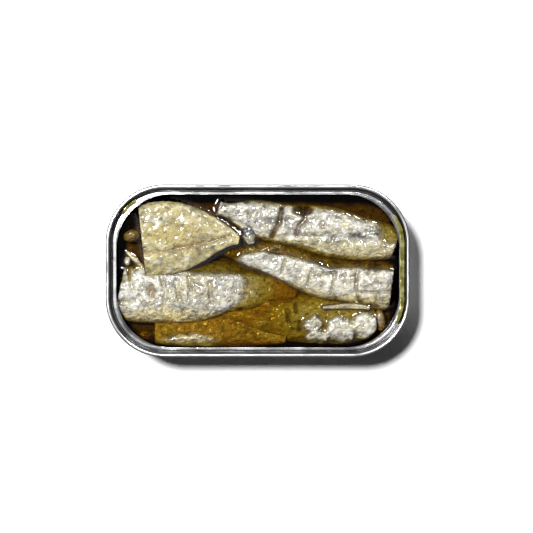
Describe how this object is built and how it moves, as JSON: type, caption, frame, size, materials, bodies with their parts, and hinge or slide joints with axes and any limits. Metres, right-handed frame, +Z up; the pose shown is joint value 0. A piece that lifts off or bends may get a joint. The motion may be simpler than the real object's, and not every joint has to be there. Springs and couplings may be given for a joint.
{
  "type": "opened sardine tin",
  "caption": "Opened oblong aluminium fish tin with its lid peeled away, filled with sardine pieces in golden oil.",
  "frame": {"origin": "middle of the base, on the plane that the tin stands on", "axes": "+X along the tin to the right, +Y across it, +Z up out of the open top"},
  "size_m": [0.105, 0.0596, 0.025],
  "materials": {
    "can": "drawn sheet, bright with a fine drawing grain",
    "lid": "rolled sheet, bright seam and brushed ledge with smears of oil",
    "oil": "clear amber-olive liquid, glossy",
    "pale_flesh": "moist cooked flesh, cream with fine fibres",
    "silver_skin": "wet fish skin, silver-white with olive and dark specks",
    "dark_skin": "wet dark skin of a torn tail",
    "olive_skin": "wet thin fin and skin, olive",
    "amber_flesh": "oil-soaked flesh, golden orange"
  },
  "bodies": {
    "root": {"tin_body": "can", "lid_ring": "lid", "oil": "oil", "fillet_top": "pale_flesh", "sardine_back": "silver_skin", "tail_bit": "dark_skin", "sardine_right": "silver_skin", "fin_strip": "olive_skin", "sardine_left": "silver_skin", "sardine_front_right": "silver_skin", "sardine_front_left": "amber_flesh"}
  },
  "joints": []
}
